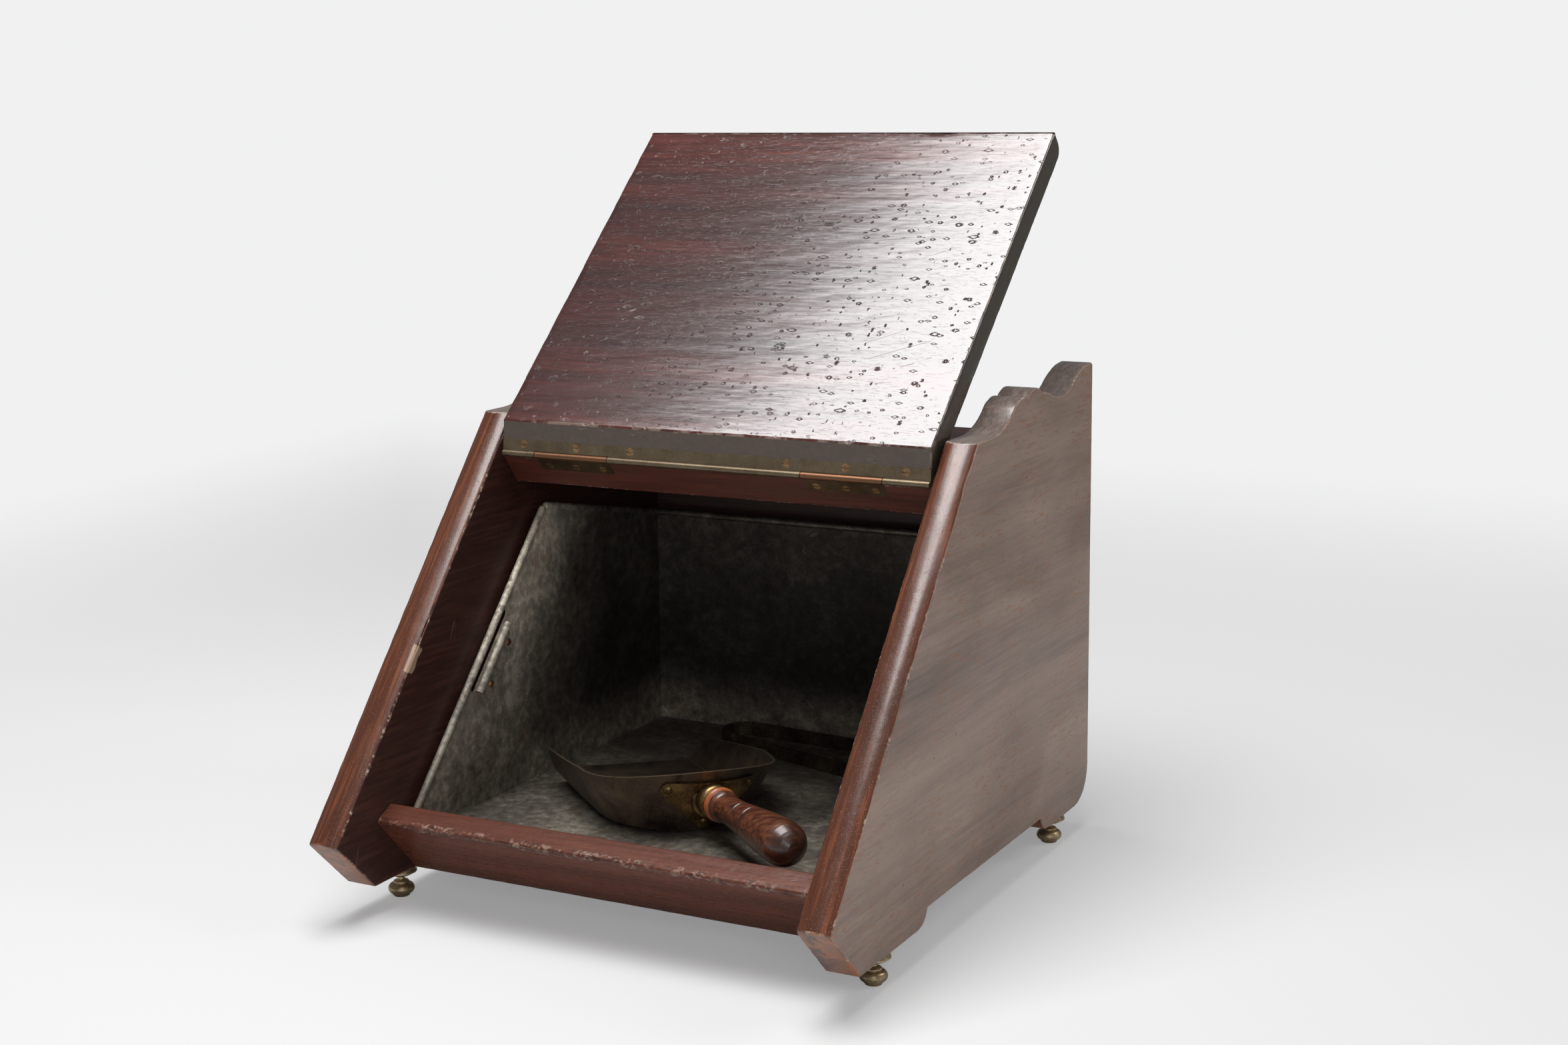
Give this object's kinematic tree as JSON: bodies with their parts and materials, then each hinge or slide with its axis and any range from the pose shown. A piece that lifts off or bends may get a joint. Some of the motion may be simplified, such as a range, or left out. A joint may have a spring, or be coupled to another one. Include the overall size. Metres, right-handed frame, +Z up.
{
  "type": "coal box",
  "caption": "Slant-fronted mahogany coal box on turned brass feet, with a hinged lid, a lift-out sheet-metal liner, a hand shovel and a loose metal strap",
  "frame": {"origin": "on the floor, under the middle of the box", "axes": "+X to the box's right as seen from its open front, +Y to its back, +Z up"},
  "size_m": [0.36, 0.4032, 0.4793],
  "materials": {
    "mahogany": "worn satin varnish on red-brown mahogany",
    "dark_mahogany": "dark, coal-stained mahogany",
    "hinge_brass": "dull olive-brown patina",
    "foot_brass": "turned, dark patina",
    "sheet_metal": "dull sheet with mottled grey-green patina",
    "copper": "dark copper",
    "strap_steel": "dark worn strap",
    "dark_brass": "dark bronze-brown patina, worn bright on the rim",
    "turned_wood": "turned and polished red-brown wood"
  },
  "bodies": {
    "case": {"side_left": "mahogany", "side_right": "mahogany", "top_board": "mahogany", "back_panel": "dark_mahogany", "bottom_board": "dark_mahogany", "front_rail": "mahogany", "hinge_leaf_left": "hinge_brass", "hinge_leaf_right": "hinge_brass", "leaf_screws": "hinge_brass", "foot_front_left": "foot_brass", "foot_front_right": "foot_brass", "foot_rear_left": "foot_brass", "foot_rear_right": "foot_brass"},
    "lid": {"lid": "dark_mahogany", "lid_hinge_strip": "hinge_brass", "hinge_pin": "hinge_brass", "strip_screws": "hinge_brass"},
    "liner": {"liner_floor": "sheet_metal", "liner_lip": "sheet_metal", "liner_side_left": "sheet_metal", "liner_side_right": "sheet_metal", "liner_back": "sheet_metal", "liner_wire_left": "sheet_metal", "liner_wire_right": "sheet_metal", "liner_roll_left": "sheet_metal", "liner_roll_right": "sheet_metal", "liner_roll_back": "sheet_metal", "grip_left": "sheet_metal", "grip_right": "sheet_metal", "grip_rivets": "copper"},
    "strap": {"strap_loop": "strap_steel"},
    "shovel": {"shovel_pan": "dark_brass", "shovel_socket": "dark_brass", "shovel_rivets": "dark_brass", "shovel_handle": "turned_wood"}
  },
  "joints": [
    {"name": "lid_hinge", "type": "hinge", "parent": "case", "child": "lid", "pos_m": [0, -0.01143, 0.2741], "axis": [1, 0, 0], "range_deg": [0, 189]},
    {"name": "liner_slide", "type": "slide", "parent": "case", "child": "liner", "axis": [0, 1, 0], "range_m": [-0.001, 0.007]},
    {"name": "strap_lift", "type": "slide", "parent": "liner", "child": "strap", "axis": [0, 0.7071, -0.7071], "range_m": [-0.31, 0]},
    {"name": "shovel_lift", "type": "slide", "parent": "liner", "child": "shovel", "axis": [0, 0.5, -0.866], "range_m": [-0.31, 0]}
  ]
}
